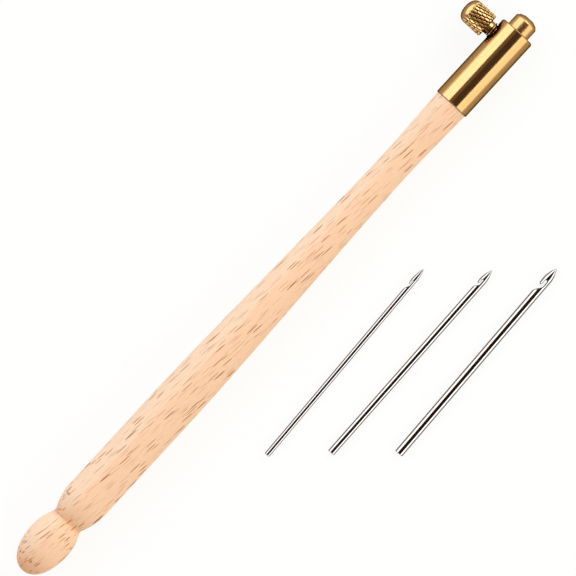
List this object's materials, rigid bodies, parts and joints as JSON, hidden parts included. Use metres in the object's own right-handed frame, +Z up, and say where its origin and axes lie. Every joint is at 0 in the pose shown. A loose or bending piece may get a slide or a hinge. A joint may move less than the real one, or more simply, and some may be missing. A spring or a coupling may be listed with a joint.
{
  "type": "tambour hook",
  "caption": "Tambour embroidery hook: turned beech handle with ball end, brass ferrule and needle chuck with a knurled clamp screw, and its set of loose barbed hook needles.",
  "frame": {"origin": "on the plane that the set lies on, under the middle of the whole set's box", "axes": "+X along the handle towards the chuck's nose; +Y the way the clamp screw points, away from the loose needles; +Z up from the plane"},
  "size_m": [0.1272, 0.044, 0.008],
  "materials": {
    "beech": "fine-sanded bare beech, matt, with short dark flecks along the grain",
    "brass": "bright turned brass with light lacquer",
    "polished_steel": "bright polished nickel-plated steel"
  },
  "bodies": {
    "handle_assembly": {"handle": "beech", "ferrule": "brass", "chuck": "brass"},
    "clamp_stud": {"clamp_stud": "brass"},
    "clamp_knob": {"clamp_knob": "brass"},
    "needle_small": {"needle_small": "polished_steel"},
    "needle_medium": {"needle_medium": "polished_steel"},
    "needle_large": {"needle_large": "polished_steel"}
  },
  "joints": [
    {"name": "clamp_screw_advance", "type": "slide", "parent": "handle_assembly", "child": "clamp_stud", "axis": [0, 1, 0], "range_m": [-0.0008, 0.001]},
    {"name": "clamp_knob_turn", "type": "hinge", "parent": "clamp_stud", "child": "clamp_knob", "pos_m": [0.05797, 0.0125, 0.00402], "axis": [0, 1, 0], "range_deg": [-576.5, 720.5]},
    {"name": "needle_small_lift", "type": "slide", "parent": "handle_assembly", "child": "needle_small", "axis": [0, 0, 1], "range_m": [0, 0.02]},
    {"name": "needle_medium_lift", "type": "slide", "parent": "handle_assembly", "child": "needle_medium", "axis": [0, 0, 1], "range_m": [0, 0.02]},
    {"name": "needle_large_lift", "type": "slide", "parent": "handle_assembly", "child": "needle_large", "axis": [0, 0, 1], "range_m": [0, 0.02]}
  ],
  "couplings": [
    {"joint": "clamp_knob_turn", "follows": "clamp_screw_advance", "rad_per_m": 12566}
  ]
}
